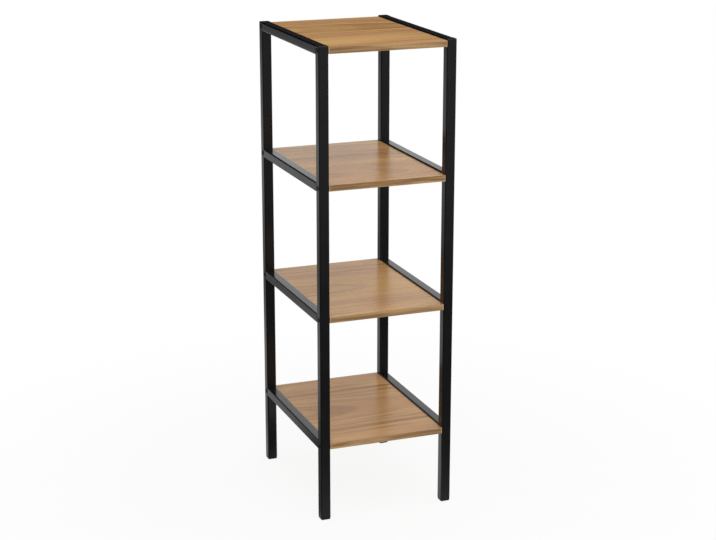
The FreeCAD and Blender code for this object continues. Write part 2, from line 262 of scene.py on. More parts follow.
class NodeTree:
    """The node tree of a material or of the world, filled one node at a time."""

    def __init__(self, owner):
        owner.use_nodes = True
        self.nodes = owner.node_tree.nodes
        self.links = owner.node_tree.links
        self.nodes.clear()

    def add(self, kind, settings=None, sockets=None, output=0):
        """Adds a node, applies its settings, fills its sockets and returns one of its outputs."""
        node = self.nodes.new(kind)
        for name, value in (settings or {}).items():
            if name == "stops":
                self.set_stops(node.color_ramp, value)
            else:
                setattr(node, name, value)
        for name, value in (sockets or {}).items():
            if isinstance(value, Socket):
                self.links.new(value.output, node.inputs[name])
            else:
                node.inputs[name].default_value = value
        return Socket(self, node.outputs[output]) if node.outputs else None

    @staticmethod
    def set_stops(ramp, stops):
        """Gives a colour ramp its stops, each a place from 0 to 1 and a colour."""
        while len(ramp.elements) < len(stops):
            ramp.elements.new(1)
        for element, (place, tint) in zip(ramp.elements, stops):
            element.position = place
            element.color = (*tint, 1)

    def place(self):
        """The point being shaded, in metres in the unit's own frame."""
        return self.add("ShaderNodeTexCoord", output="Object")

    def vector(self, *axes):
        """A vector of three values."""
        return self.add("ShaderNodeCombineXYZ", None, dict(enumerate(axes)))

    def axes(self, place):
        """The X, the Y and the Z of a vector."""
        across = self.add("ShaderNodeSeparateXYZ", None, {"Vector": place})
        return across, across.beside("Y"), across.beside("Z")

    def distance(self, place):
        """How far a point lies from the origin."""
        return self.add("ShaderNodeVectorMath", {"operation": "LENGTH"}, {0: place}, output="Value")

    def noise(self, place, per_metre, detail=2, roughness=0.5):
        """Noise from 0 to 1 with that many features per metre along each axis."""
        stretched = self.add("ShaderNodeVectorMath", {"operation": "MULTIPLY"}, {0: place, 1: per_metre})
        sockets = {"Vector": stretched, "Scale": 1, "Detail": detail, "Roughness": roughness}
        return self.add("ShaderNodeTexNoise", None, sockets)

    def blend(self, factor, first, second, mode="MIX"):
        """Mixes two colours."""
        settings = {"data_type": "RGBA", "blend_type": mode}
        return self.add("ShaderNodeMix", settings, {0: factor, 6: solid(first), 7: solid(second)}, output=2)

    def profile(self, value, points):
        """A level that follows points, each a value and the level there, in straight lines."""
        reach = points[-1][0]
        stops = [(at / reach, (level,) * 3) for at, level in points]
        return self.add("ShaderNodeValToRGB", {"stops": stops}, {"Fac": value * (1 / reach)})

    def bump(self, height, distance, strength=1):
        """A normal that follows the height, whose full range is that distance."""
        sockets = {"Height": height, "Distance": distance, "Strength": strength}
        return self.add("ShaderNodeBump", None, sockets)

    def surface(self, sockets):
        """Ends a material in a Principled BSDF with these sockets."""
        self.output(self.add("ShaderNodeBsdfPrincipled", None, sockets))

    def output(self, shader, kind="ShaderNodeOutputMaterial"):
        """Ends the tree in this shader."""
        self.add(kind, None, {"Surface": shader})


def solid(tint):
    """A colour as a socket wants it: red, green, blue and alpha."""
    return tint if isinstance(tint, Socket) else (*tint, 1)


def new_material(name):
    """A material and its empty node tree."""
    material = bpy.data.materials.new(name)
    return material, NodeTree(material)


# ---------------------------------------------------------------- materials


def powder_coat(settings):
    """Satin black powder coat with a fine orange peel."""
    material, tree = new_material("powder_coat")
    place = tree.place()
    peel = tree.noise(place, (900, 900, 900))
    cloud = tree.noise(place, (26, 26, 26), detail=3)
    fleck = tree.noise(place, (2600, 2600, 2600), detail=1)
    coat = Vector(settings.coat)
    tint = tree.blend(cloud.smooth(0.3, 0.7), coat * 0.85, coat * 1.15)
    tree.surface({
        "Base Color": tint,
        "Roughness": settings.coat_roughness + (cloud - 0.5) * 0.08 + (fleck - 0.5) * 0.06,
        "Specular IOR Level": settings.coat_specular,
        "Normal": tree.bump(peel * 0.9 + fleck * 0.1, 0.00001, 0.35),
    })
    return material


def oak_figure(tree, place, settings):
    """The space in which flat-sawn oak is drawn: along the board, out through its growth rings, and from
    one board's print to the next."""
    along, across, up = tree.axes(place)
    board = up * settings.print_step + settings.print_place
    heart = tree.noise(tree.vector(0, 0, board), (1, 1, 1), detail=0)
    drift = tree.noise(place, (2.5, 6, 21), detail=1, roughness=0.4)
    waver = tree.noise(place, (11, 40, 21))
    aside = across - (heart - 0.5) * 0.5 + (drift - 0.5) * 0.07
    depth = 0.045 + along * 0.11
    ring = (aside * aside + depth * depth).root() + (waver - 0.5) * 0.006
    return tree.vector(along, ring, board)


def oak_laminate(settings):
    """Printed oak under a satin resin, its grain along the board."""
    material, tree = new_material("oak_laminate")
    place = tree.place()
    grain = oak_figure(tree, place, settings)
    _, ring, _ = tree.axes(grain)
    uneven = tree.noise(grain, (1.5, 30, 1), detail=1)
    growth = (ring * 46 + uneven * 2.4).fraction()
    late = growth.smooth(0.2, 0.84) * (1 - growth.smooth(0.86, 1))
    clear = tree.noise(grain, (3, 17, 1.7), detail=1).smooth(0.36, 0.66)
    broad = tree.noise(grain, (1.4, 13, 1.3), detail=1).smooth(0.34, 0.66)
    streak = tree.noise(grain, (5, 95, 1), detail=4, roughness=0.6).smooth(0.32, 0.7)
    fibre = tree.noise(place, (28, 1300, 200))
    early = 1 - growth.smooth(0.05, 0.5)
    pore = tree.noise(place, (80, 1900, 400), detail=1).smooth(0.58, 0.68) * (0.3 + early * 0.7)
    depth = late * clear * 0.4 + broad * 0.22 + streak * 0.26 + fibre * 0.12
    stops = [(0.12, settings.oak_pale), (0.38, settings.oak_tan), (0.85, settings.oak_deep)]
    oak = tree.add("ShaderNodeValToRGB", {"stops": stops}, {"Fac": depth})
    warm = tree.noise(grain, (1.1, 15, 2.1), detail=1).smooth(0.45, 0.66)
    oak = tree.blend(warm * 0.65, oak, settings.oak_rose)
    oak = tree.blend(pore * 0.5, oak, settings.pore)
    tree.surface({
        "Base Color": oak,
        "Roughness": settings.laminate_roughness + (fibre - 0.5) * 0.1 + pore * 0.08,
        "Specular IOR Level": settings.laminate_specular,
        "Normal": tree.bump(fibre * 0.5 - pore, 0.00002, 0.6),
    })
    return material


def oak_edging(settings):
    """Melamine edging printed with straight grain."""
    material, tree = new_material("oak_edging")
    place = tree.place()
    streak = tree.noise(place, (6, 60, 420), detail=3, roughness=0.6)
    slow = tree.noise(place, (9, 20, 110))
    fibre = tree.noise(place, (40, 400, 2400), detail=1)
    depth = streak.smooth(0.3, 0.7) * 0.45 + slow.smooth(0.4, 0.6) * 0.4 + fibre * 0.15
    tint = tree.blend(depth, settings.strip_tan, settings.strip_deep)
    _, strip = centre_and_size(f"{SHELVES[0]}_shelf_front_edge")
    cut_end = strip.x / 2
    along, _, _ = tree.axes(place)
    # Paler towards each cut end of the edging, on every strip.
    end_band = along.unsigned().smooth(cut_end - settings.core_width, cut_end - settings.core_width / 2)
    tint = tree.blend(end_band * 0.7, tint, settings.strip_core)
    tree.surface({
        "Base Color": tint,
        "Roughness": settings.laminate_roughness + 0.04 + (fibre - 0.5) * 0.1,
        "Specular IOR Level": settings.laminate_specular,
        "Normal": tree.bump(fibre, 0.00001, 0.5),
    })
    return material


def blackened_steel(settings):
    """Blackened steel of the bolts, slightly mottled."""
    material, tree = new_material("blackened_steel")
    place = tree.place()
    mottle = tree.noise(place, (900, 900, 900), detail=4)
    grit = tree.noise(place, (5000, 5000, 5000), detail=1)
    oxide = Vector(settings.oxide)
    tree.surface({
        "Base Color": tree.blend(mottle.smooth(0.3, 0.7), oxide * 0.7, oxide * 1.2),
        "Metallic": 0.9,
        "Roughness": 0.34 + (mottle - 0.5) * 0.2,
        "Normal": tree.bump(grit, 0.00001, 0.5),
    })
    return material


def zinc_plate(settings):
    """Bright zinc plate of the threaded inserts."""
    material, tree = new_material("zinc_plate")
    place = tree.place()
    bloom = tree.noise(place, (700, 700, 700), detail=3)
    zinc = Vector(settings.zinc)
    tree.surface({
        "Base Color": tree.blend(bloom.smooth(0.35, 0.7), zinc, zinc * 0.72),
        "Metallic": 1.0,
        "Roughness": 0.25 + bloom * 0.2,
    })
    return material


def moulded_plastic(settings):
    """Black polyethylene of the feet, with a spark-eroded grain."""
    material, tree = new_material("moulded_plastic")
    place = tree.place()
    grain = tree.noise(place, (2200, 2200, 2200))
    scuff = tree.noise(place, (160, 160, 600), detail=3)
    plastic = Vector(settings.plastic)
    tree.surface({
        "Base Color": tree.blend(scuff.smooth(0.45, 0.75), plastic, plastic * 1.5),
        "Roughness": 0.5 + (scuff - 0.5) * 0.16,
        "Specular IOR Level": 0.3,
        "Normal": tree.bump(grain, 0.00004, 0.6),
    })
    return material


# ---------------------------------------------------------------- shapes


def rounded_section(bm, width, depth, radius):
    """Adds a rounded rectangle round the origin in the XY plane, and returns its face."""
    made = bmesh.ops.create_grid(bm, x_segments=1, y_segments=1, size=0.5)
    bmesh.ops.scale(bm, vec=(width, depth, 1), verts=made["verts"])
    rounding = {"segments": CORNER_STEPS, "profile": 0.5, "affect": "VERTICES", "material": -1}
    bmesh.ops.bevel(bm, geom=made["verts"], offset=radius, **rounding)
    bm.faces.ensure_lookup_table()
    return bm.faces[-1]


def only(kind, parts):
    """Those of a mesh's parts that are of one kind."""
    return [part for part in parts if isinstance(part, kind)]


def raise_faces(bm, faces, height):
    """Extrudes faces along Z, and returns the raised ones."""
    made = bmesh.ops.extrude_face_region(bm, geom=faces)["geom"]
    bmesh.ops.translate(bm, vec=(0, 0, height), verts=only(BMVert, made))
    return only(BMFace, made)


def widen(bm, face, amount):
    """Moves a centred face's sides outwards by an amount."""
    half_width = max(vert.co.x for vert in face.verts)
    half_depth = max(vert.co.y for vert in face.verts)
    factor = (1 + amount / half_width, 1 + amount / half_depth, 1)
    bmesh.ops.scale(bm, vec=factor, verts=face.verts)


def edges_where(bm, test):
    """The edges both of whose ends pass the test."""
    return [edge for edge in bm.edges if all(test(vert.co) for vert in edge.verts)]


def round_edges(bm, edges, radius, steps=EDGE_STEPS):
    """Rounds edges with a bevel."""
    bmesh.ops.bevel(bm, geom=edges, offset=radius, segments=steps, profile=0.5, affect="EDGES",
                    clamp_overlap=True, material=-1)


def round_disc(bm, face, centre, radius, margin):
    """Turns a rectangular face into a plate with a round disc in it, and returns the disc."""
    bmesh.ops.inset_individual(bm, faces=[face], thickness=margin, use_even_offset=True)
    bmesh.ops.bisect_edges(bm, edges=face.edges[:], cuts=HOLE_SIDES // 4 - 1)
    for vert in face.verts:
        vert.co = centre + (vert.co - centre).normalized() * radius
    return face


def face_at(bm, centre, direction):
    """The face that looks in a direction and is centred nearest to a point."""
    facing = [face for face in bm.faces if face.normal.dot(direction) > 0.99]
    return min(facing, key=lambda face: (face.calc_center_median() - centre).length)


def tidy(bm):
    """Merges doubled points and turns every face outwards."""
    bmesh.ops.remove_doubles(bm, verts=bm.verts, dist=MERGE_DISTANCE)
    bmesh.ops.recalc_face_normals(bm, faces=bm.faces)


def tube(bm, width, depth, height, radius, wall):
    """Adds a hollow rounded tube that stands on the origin."""
    section = rounded_section(bm, width, depth, radius)
    rim = bmesh.ops.inset_individual(bm, faces=[section], thickness=wall, use_even_offset=True)["faces"]
    bmesh.ops.delete(bm, geom=[section], context="FACES_ONLY")
    raise_faces(bm, rim, height)
    tidy(bm)


def drill_tube(bm, height, width, wall, radius):
    """Drills a hole across a standing tube, through both of its side walls."""
    reach = radius * 2
    for level in (height - reach, height + reach):
        everything = bm.verts[:] + bm.edges[:] + bm.faces[:]
        bmesh.ops.bisect_plane(bm, geom=everything, plane_co=(0, 0, level), plane_no=(0, 0, 1))
    for side in SIDES.values():
        discs = []
        for place, outwards in ((width / 2, side), (width / 2 - wall, -side)):
            centre = Vector((side * place, 0, height))
            cell = face_at(bm, centre, Vector((outwards, 0, 0)))
            discs.append(round_disc(bm, cell, centre, radius, radius / 2))
        edges = [edge for disc in discs for edge in disc.edges]
        bmesh.ops.delete(bm, geom=discs, context="FACES_ONLY")
        bmesh.ops.bridge_loops(bm, edges=edges)


def turned(bm, profile, steps=TURNED_STEPS):
    """Spins a profile, given as distances from the Z axis and heights, into a closed shape."""
    verts = [bm.verts.new((distance, 0, height)) for distance, height in profile]
    edges = [bm.edges.new(pair) for pair in zip(verts, verts[1:])]
    bmesh.ops.spin(bm, geom=verts + edges, angle=2 * math.pi, steps=steps, axis=(0, 0, 1), cent=(0, 0, 0),
                   use_merge=True, use_duplicate=False)
    tidy(bm)


def add_object(name, data):
    """Puts an object with this data in the scene."""
    added = bpy.data.objects.new(name, data)
    bpy.context.scene.collection.objects.link(added)
    return added


def mesh_object(name, bm, material):
    """Makes a mesh object of a bmesh in one material."""
    mesh = bpy.data.meshes.new(name)
    bm.to_mesh(mesh)
    bm.free()
    mesh.materials.append(material)
    return add_object(name, mesh)


def finish_piece(bm, material, node):
    """Makes a smooth mesh object of a bmesh and lets it stand for a node."""
    tidy(bm)
    piece = mesh_object(f"finished_{node}", bm, material)
    piece.data.shade_smooth()
    piece.data.set_sharp_from_angle(angle=SHARP_ANGLE)
    flats = piece.modifiers.new("Flat Faces", "WEIGHTED_NORMAL")
    flats.keep_sharp = True
    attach(piece, BODY)
    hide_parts(node)


def centre_and_size(node):
    """The middle of a node's box and its size."""
    low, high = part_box(node)
    return (low + high) / 2, high - low


def material_for(make, settings):
    """The material that bears this function's name, made when it is first asked for."""
    return bpy.data.materials.get(make.__name__) or make(settings)


# ---------------------------------------------------------------- pieces


class AddPosts(bpy.types.Operator):
    """Adds the four posts: square tube, drilled across for the bolts"""

    bl_idname = "shelving.add_posts"
    bl_label = "Posts"

    def execute(self, context):
        settings = context.scene.shelving_frame
        coat = material_for(powder_coat, settings)
        for side, end in CORNERS:
            node = f"{side}_{end}_post"
            centre, size = centre_and_size(node)
            bm = bmesh.new()
            tube(bm, size.x, size.y, size.z, settings.corner_radius, settings.wall)
            foot_of_post = centre.z - size.z / 2
            for shelf in SHELVES:
                rail, _ = centre_and_size(f"{side}_{shelf}_rail")
                drill_tube(bm, rail.z - foot_of_post, size.x, settings.wall, settings.bolt_hole / 2)
            for level in (0, size.z):
                cut = outer_cut(bm, level, size, settings.wall)
                round_edges(bm, cut, settings.cut_edge)
            bmesh.ops.translate(bm, vec=(centre.x, centre.y, foot_of_post), verts=bm.verts)
            finish_piece(bm, coat, node)
        return {"FINISHED"}


def outer_cut(bm, level, size, wall):
    """The outer edges of a standing tube's cut end."""
    def on_outline(point):
        inside = abs(point.x) < size.x / 2 - wall / 2 and abs(point.y) < size.y / 2 - wall / 2
        return abs(point.z - level) < MERGE_DISTANCE and not inside

    outline = edges_where(bm, on_outline)
    return [edge for edge in outline if any(abs(face.normal.z) < 0.5 for face in edge.link_faces)]


class AddRails(bpy.types.Operator):
    """Adds the eight rails that run from post to post at the sides"""

    bl_idname = "shelving.add_rails"
    bl_label = "Rails"

    def execute(self, context):
        settings = context.scene.shelving_frame
        coat = material_for(powder_coat, settings)
        for side in SIDES:
            for shelf in SHELVES:
                node = f"{side}_{shelf}_rail"
                centre, size = centre_and_size(node)
                bm = bmesh.new()
                tube(bm, size.x, size.z, size.y, settings.corner_radius, settings.wall)
                lay_down = Matrix.Rotation(math.radians(-90), 4, "X")
                start = Matrix.Translation((centre.x, centre.y - size.y / 2, centre.z))
                bmesh.ops.transform(bm, matrix=start @ lay_down, verts=bm.verts)
                finish_piece(bm, coat, node)
        return {"FINISHED"}


class AddTopPlates(bpy.types.Operator):
    """Adds the plates that close the tops of the posts"""

    bl_idname = "shelving.add_top_plates"
    bl_label = "Top Plates"

    def execute(self, context):
        settings = context.scene.shelving_frame
        coat = material_for(powder_coat, settings)
        for side, end in CORNERS:
            node = f"{side}_{end}_top_plate"
            centre, size = centre_and_size(node)
            bm = bmesh.new()
            raise_faces(bm, [rounded_section(bm, size.x, size.y, settings.corner_radius)], size.z)
            round_edges(bm, edges_where(bm, lambda point: point.z > size.z / 2), settings.plate_edge)
            round_edges(bm, edges_where(bm, lambda point: point.z < MERGE_DISTANCE), settings.cut_edge / 2)
            bmesh.ops.translate(bm, vec=(centre.x, centre.y, centre.z - size.z / 2), verts=bm.verts)
            finish_piece(bm, coat, node)
        return {"FINISHED"}


class AddWelds(bpy.types.Operator):
    """Adds the rippled fillet welds between rails and posts"""

    bl_idname = "shelving.add_welds"
    bl_label = "Welds"

    def execute(self, context):
        settings = context.scene.shelving_frame
        coat = material_for(powder_coat, settings)
        for side in SIDES:
            bm = bmesh.new()
            for shelf in SHELVES:
                rail, size = centre_and_size(f"{side}_{shelf}_rail")
                width = size.x - 2 * settings.corner_radius
                for end in ENDS.values():
                    seam = rail + Vector((0, end * size.y / 2, -size.z / 2))
                    weld_bead(bm, seam, width, -end, settings)
            node = f"{side}_frame_welds"
            finish_piece(bm, coat, node)
        return {"FINISHED"}


def weld_bead(bm, seam, width, along_rail, settings):
    """Adds one bead along X under a rail. Its legs point along the rail, in Y, and down the post."""
    arc_steps = 6
    per_ripple = 4
    fullness = 1.5
    taper = 0.0012
    steps = round(width / settings.weld_pitch) * per_ripple
    start = seam - Vector((width / 2, 0, 0))
    outline = [bm.verts.new(start)]
    for index in range(arc_steps + 1):
        turn = math.pi / 2 * index / arc_steps
        on_rail = along_rail * settings.weld_leg * math.cos(turn) ** fullness
        on_post = settings.weld_leg * math.sin(turn) ** fullness
        outline.append(bm.verts.new(start + Vector((0, on_rail, -on_post))))
    face = bm.faces.new(outline)

    def swell(step):
        """The bead's size at a step along it, as a share of its full size."""
        from_end = min(step, steps - step) / steps * width
        end_share = 0.25 + 0.75 * math.sin(math.pi / 2 * min(1, from_end / taper))
        ripple = settings.weld_ripple * (1 - math.cos(2 * math.pi * step / per_ripple)) / 2
        return end_share * (1 - ripple)

    def resize(verts, factor, point):
        space = Matrix.Translation(-point)
        bmesh.ops.scale(bm, vec=(1, factor, factor), space=space, verts=verts)

    resize(face.verts, swell(0), start)
    verts = list(outline)
    for step in range(1, steps + 1):
        (face,) = raise_faces(bm, [face], 0)
        bmesh.ops.translate(bm, vec=(width / steps, 0, 0), verts=face.verts)
        resize(face.verts, swell(step) / swell(step - 1), start)
        verts.extend(face.verts)
    bow_ripples(verts, seam, width, settings)


def bow_ripples(verts, seam, width, settings):
    """Bows a bead's ripples into crescents, most at the middle of its face."""
    bow = settings.weld_pitch * 0.45
    for vert in verts:
        arm = vert.co - seam
        reach = abs(arm.y) + abs(arm.z)
        if reach > MERGE_DISTANCE:
            middle = 4 * abs(arm.y) * abs(arm.z) / reach ** 2
            room = 1 - (2 * arm.x / width) ** 2
            vert.co.x += bow * middle * room


class AddFeet(bpy.types.Operator):
    """Adds the plastic feet, with the ribbed plugs that grip the tube"""

    bl_idname = "shelving.add_feet"
    bl_label = "Feet"

    def execute(self, context):
        frame_settings = context.scene.shelving_frame
        settings = context.scene.shelving_fixings
        plastic = material_for(moulded_plastic, settings)
        for side, end in CORNERS:
            node = f"{side}_{end}_foot"
            centre, size = centre_and_size(node)
            _, post = centre_and_size(f"{side}_{end}_post")
            bm = bmesh.new()
            sole = rounded_section(bm, size.x, size.y, settings.foot_corner)
            (top,) = raise_faces(bm, [sole], settings.foot_height)
            tube_inside = post.x - 2 * frame_settings.wall
            plug_width = tube_inside - 2 * settings.plug_play
            margin = (size.x - plug_width) / 2
            bmesh.ops.inset_individual(bm, faces=[top], thickness=margin, use_even_offset=True)
            ribbed_plug(bm, top, size.z - settings.foot_height, settings)
            on_sole = edges_where(bm, lambda point: point.z < MERGE_DISTANCE)
            round_edges(bm, on_sole, settings.foot_bevel)
            round_edges(bm, foot_lip(bm, settings), settings.foot_lip)
            bmesh.ops.translate(bm, vec=(centre.x, centre.y, centre.z - size.z / 2), verts=bm.verts)
            finish_piece(bm, plastic, node)
        return {"FINISHED"}


def foot_lip(bm, settings):
    """The upper outer edges of a foot's sole."""
    def at_lip(point):
        return abs(point.z - settings.foot_height) < MERGE_DISTANCE

    def beside_wall(edge):
        return any(abs(face.normal.z) < 0.5 and face.calc_center_median().z < settings.foot_height
                   for face in edge.link_faces)

    return [edge for edge in edges_where(bm, at_lip) if beside_wall(edge)]


def ribbed_plug(bm, face, height, settings):
    """Raises a hollow plug with gripping ribs from a face."""
    rib = settings.plug_play - settings.rib_play
    gap = settings.rib_pitch - settings.rib_height
    left = height
    for _ in range(settings.rib_count):
        (face,) = raise_faces(bm, [face], gap)
        (face,) = raise_faces(bm, [face], 0)
        widen(bm, face, rib)
        (face,) = raise_faces(bm, [face], settings.rib_height)
        (face,) = raise_faces(bm, [face], 0)
        widen(bm, face, -rib)
        left -= settings.rib_pitch
    (face,) = raise_faces(bm, [face], left)
    (face,) = raise_faces(bm, [face], 0)
    widen(bm, face, -settings.plug_wall)
    raise_faces(bm, [face], settings.plug_wall - height)


class AddBoards(bpy.types.Operator):
    """Adds the four laminate boards, bored at their ends for the threaded inserts"""

    bl_idname = "shelving.add_boards"
    bl_label = "Boards"

    def execute(self, context):
        settings = context.scene.shelving_boards
        oak = material_for(oak_laminate, settings)
        for shelf in SHELVES:
            node = f"{shelf}_shelf_board"
            centre, size = centre_and_size(node)
            bm = bmesh.new()
            bmesh.ops.create_cube(bm, size=1)
            bmesh.ops.scale(bm, vec=size, verts=bm.verts)
            bmesh.ops.translate(bm, vec=centre, verts=bm.verts)
            for end in ENDS:
                post, _ = centre_and_size(f"left_{end}_post")
                bore_board(bm, post.y, centre, size, settings)
            round_edges(bm, board_edges(bm, centre, size), settings.eased_edge, 2)
            finish_piece(bm, oak, node)
        return {"FINISHED"}


def board_edges(bm, centre, size):
    """The outer edges of a board."""
    def on_edge(point):
        arm = point - centre
        return sum(abs(abs(arm[axis]) - size[axis] / 2) < MERGE_DISTANCE for axis in range(3)) >= 2

    return [edge for edge in edges_where(bm, on_edge) if edge.calc_face_angle(0) > 1]


def bore_board(bm, row, centre, size, settings):
    """Bores both ends of a board in line with a row of bolts."""
    for edge in (row - size.z / 2, row + size.z / 2):
        everything = bm.verts[:] + bm.edges[:] + bm.faces[:]
        bmesh.ops.bisect_plane(bm, geom=everything, plane_co=(0, edge, 0), plane_no=(0, 1, 0))
    for side in SIDES.values():
        mouth = Vector((centre.x + side * size.x / 2, row, centre.z))
        cell = face_at(bm, mouth, Vector((side, 0, 0)))
        disc = round_disc(bm, cell, mouth, settings.bore / 2, settings.bore / 6)
        (floor,) = raise_faces(bm, [disc], 0)
        bmesh.ops.translate(bm, vec=(-side * settings.bore_depth, 0, 0), verts=floor.verts)


class AddEdging(bpy.types.Operator):
    """Adds the edging on the boards' front and rear edges"""

    bl_idname = "shelving.add_edging"
    bl_label = "Edging"

    def execute(self, context):
        settings = context.scene.shelving_boards
        edging = material_for(oak_edging, settings)
        for shelf in SHELVES:
            for end, outwards in ENDS.items():
                node = f"{shelf}_shelf_{end}_edge"
                centre, size = centre_and_size(node)
                bm = bmesh.new()
                bmesh.ops.create_cube(bm, size=1)
                bmesh.ops.scale(bm, vec=size, verts=bm.verts)
                outer = edges_where(bm, lambda point: point.y * outwards > 0)
                round_edges(bm, outer, settings.strip_edge)
                bmesh.ops.translate(bm, vec=centre, verts=bm.verts)
                finish_piece(bm, edging, node)
        return {"FINISHED"}


def bolt_seats(shelf):
    """Where a shelf's four bolts sit: the point under each head, and which way it faces."""
    for side, outwards in SIDES.items():
        rail, _ = centre_and_size(f"{side}_{shelf}_rail")
        for end in ENDS:
            post, size = centre_and_size(f"{side}_{end}_post")
            yield Vector((post.x + outwards * size.x / 2, post.y, rail.z)), outwards


def join_turned(bm, part, seat, outwards):
    """Copies a part that was made along Z to a seat, facing along X, into a mesh."""
    turn = Matrix.Rotation(math.radians(90 * outwards), 4, "Y")
    mesh = bpy.data.meshes.new("part")
    part.to_mesh(mesh)
    mesh.transform(Matrix.Translation(seat) @ turn)
    bm.from_mesh(mesh)
    bpy.data.meshes.remove(mesh)


class AddBolts(bpy.types.Operator):
    """Adds the button-head bolts, four to a shelf"""

    bl_idname = "shelving.add_bolts"
    bl_label = "Bolts"

    def execute(self, context):
        settings = context.scene.shelving_fixings
        steel = material_for(blackened_steel, settings)
        bolt = bmesh.new()
        button_bolt(bolt, settings)
        for shelf in SHELVES:
            bm = bmesh.new()
            for seat, outwards in bolt_seats(shelf):
                join_turned(bm, bolt, seat, outwards)
            node = f"{shelf}_shelf_bolts"
            finish_piece(bm, steel, node)
        bolt.free()
        return {"FINISHED"}


def button_bolt(bm, settings):
    """Builds a bolt along Z: above the origin its domed head with a hexagon socket, below it its shank."""
    dome_steps = 7
    flat_per_socket = 0.68
    radius = settings.head_diameter / 2
    crown = settings.head_height - settings.head_rim
    flat = settings.socket * flat_per_socket
    profile = bolt_shank(settings)
    profile.append((radius, 0))
    for step in range(dome_steps + 1):
        turn = math.pi / 2 * step / dome_steps
        out = flat + (radius - flat) * math.cos(turn)
        profile.append((out, settings.head_rim + crown * math.sin(turn)))
    turned(bm, profile, HOLE_SIDES)
    crown_loop = [edge for edge in bm.edges if edge.is_boundary and edge.verts[0].co.z > settings.head_rim]
    across_corners = settings.socket / math.sqrt(3)
    made = bmesh.ops.create_circle(bm, segments=6, radius=across_corners)
    bmesh.ops.translate(bm, vec=(0, 0, settings.head_height), verts=made["verts"])
    rim = [edge for edge in bm.edges if edge.verts[0] in made["verts"]]
    split = bmesh.ops.bisect_edges(bm, edges=rim, cuts=HOLE_SIDES // 6 - 1)["geom_split"]
    socket_loop = only(BMEdge, split)
    bmesh.ops.bridge_loops(bm, edges=crown_loop + socket_loop)
    floor = bmesh.ops.extrude_edge_only(bm, edges=socket_loop)["geom"]
    bmesh.ops.translate(bm, vec=(0, 0, -settings.socket_depth), verts=only(BMVert, floor))
    bmesh.ops.contextual_create(bm, geom=only(BMEdge, floor))
    tidy(bm)


def bolt_shank(settings):
    """The profile of a bolt's shank, from its tip to under its head, with a groove for each thread."""
    free_fit = 0.98
    pitch = settings.thread_pitch
    radius = settings.bolt_diameter / 2 * free_fit
    root = radius - pitch * 0.5
    tip = -settings.bolt_length
    profile = [(0, tip), (root, tip)]
    for turn in range(round(settings.thread_length / pitch)):
        base = tip + turn * pitch
        profile += [(radius, base + pitch * 0.45), (radius, base + pitch * 0.6), (root, base + pitch)]
    profile += [(radius, profile[-1][1] + pitch * 0.5), (radius, 0)]
    return profile


class AddInserts(bpy.types.Operator):
    """Adds the threaded inserts that hold the bolts in the boards"""

    bl_idname = "shelving.add_inserts"
    bl_label = "Inserts"

    def execute(self, context):
        settings = context.scene.shelving_fixings
        zinc = material_for(zinc_plate, settings)
        insert = bmesh.new()
        threaded_insert(insert, settings)
        for shelf in SHELVES:
            bm = bmesh.new()
            board, size = centre_and_size(f"{shelf}_shelf_board")
            for seat, outwards in bolt_seats(shelf):
                mouth = Vector((board.x + outwards * size.x / 2, seat.y, board.z))
                join_turned(bm, insert, mouth, outwards)
            node = f"{shelf}_shelf_inserts"
            finish_piece(bm, zinc, node)
        insert.free()
        return {"FINISHED"}


def threaded_insert(bm, settings):
    """Builds an insert below the origin: a sleeve with a coarse thread outside and a bore inside."""
    running_fit = 1.01
    pitch = settings.insert_pitch
    outer = settings.insert_diameter / 2
    root = outer - pitch * 0.25
    bore = settings.bolt_diameter / 2 * running_fit
    bottom = -settings.insert_length
    profile = [(bore, 0), (bore, bottom), (root, bottom)]
    for turn in range(int(settings.insert_length / pitch)):
        base = bottom + turn * pitch
        profile += [(root, base + pitch * 0.3), (outer, base + pitch * 0.6)]
        profile += [(outer, base + pitch * 0.7), (root, base + pitch)]
    profile += [(outer, -pitch * 0.2), (outer, 0), (bore, 0)]
    turned(bm, profile, HOLE_SIDES)


# ---------------------------------------------------------------- stage


# How much light the floor flag lets through, by the distance from the unit in metres.
FLAG_AHEAD = [
    (0, 0.9), (0.22, 0.65), (0.4, 0.26), (0.7, 0.14), (1.3, 0.13), (2.2, 0.28), (2.9, 0.38), (4.2, 0.45),
    (8, 0.5)]
FLAG_BEHIND = [
    (0, 1), (0.2, 0.95), (0.3, 0.8), (0.42, 0.58), (0.72, 0.6), (0.9, 0.75), (1.05, 0.6), (1.5, 0.28),
    (1.85, 0.3), (2.5, 0.56), (3, 0.66), (3.8, 0.62), (4.8, 0.55), (5.6, 0.4), (6.1, 0.24), (8, 0.18)]
# How much of that light the doubled cloth at the left takes.
FLAG_DOUBLED = 0.8
# How much of what is behind them the upright cards hide.
CARD_COVER = 0.97
# How much of the floor beside the unit is shown as pure white.
FLOOR_WHITE = 0.89


class SetStage(bpy.types.Operator):
    """Sets the floor, the room's light, the lamps and the camera"""

    bl_idname = "shelving.set_stage"
    bl_label = "Stage"

    def execute(self, context):
        settings = context.scene.shelving_stage
        context.scene.view_settings.view_transform = "Standard"
        light_room(context.scene, settings)
        lay_floor(settings)
        hang_lamp("front_lamp", (-0.3, -1.7, 2.2), 1.4, settings.key_power)
        hang_lamp("overhead_lamp", (0.4, -0.3, 2.9), 2.0, settings.overhead_power)
        hang_flag("rear_flag", (0, 0.55, 1.75), (3.2, 1.65))
        hang_flag("side_flag", (-0.6, 3.0, 1.9), (2.2, 2.2))
        lay_flag("floor_flag", 20.0)
        place_camera(context.scene, settings)
        return {"FINISHED"}


def seen_directly(tree):
    """1 for what the camera sees, also in gloss and through glass, and 0 for the light on the unit."""
    path = tree.add("ShaderNodeLightPath", output="Is Camera Ray")
    return path.largest(path.beside("Is Glossy Ray")).largest(path.beside("Is Transmission Ray"))


